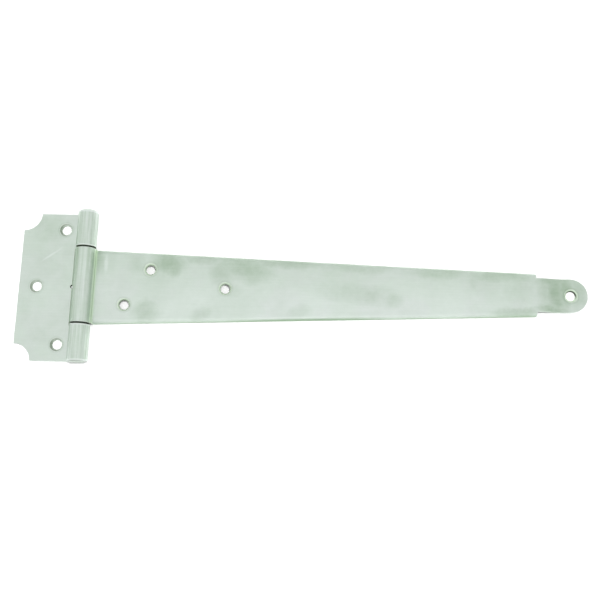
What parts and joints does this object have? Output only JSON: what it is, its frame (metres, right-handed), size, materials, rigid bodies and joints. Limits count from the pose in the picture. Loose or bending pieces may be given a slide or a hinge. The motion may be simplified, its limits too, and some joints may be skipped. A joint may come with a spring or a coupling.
{
  "type": "t hinge",
  "caption": "Tee hinge: a rectangular frame plate and a long tapered strap, rolled around a riveted pin and screwed on flat to hang a door, gate or lid.",
  "frame": {"origin": "on the mounting plane, straight below the middle of the pin's axis", "axes": "+X along the strap to its tip, +Y along the pin, +Z out of the front face; the hinge lies open and flat on its back"},
  "size_m": [0.346, 0.0936, 0.0122],
  "materials": {
    "plated_sheet": "bright plated sheet steel, satin, with a faint green mottle",
    "pin_steel": "plated round bar, ends riveted over"
  },
  "bodies": {
    "plate": {"frame_plate": "plated_sheet", "hinge_pin": "pin_steel"},
    "strap": {"strap": "plated_sheet"}
  },
  "joints": [
    {"name": "strap_swing", "type": "hinge", "parent": "plate", "child": "strap", "pos_m": [0, 0, 0.0061], "axis": [0, -1, 0], "range_deg": [-105, 180]}
  ]
}
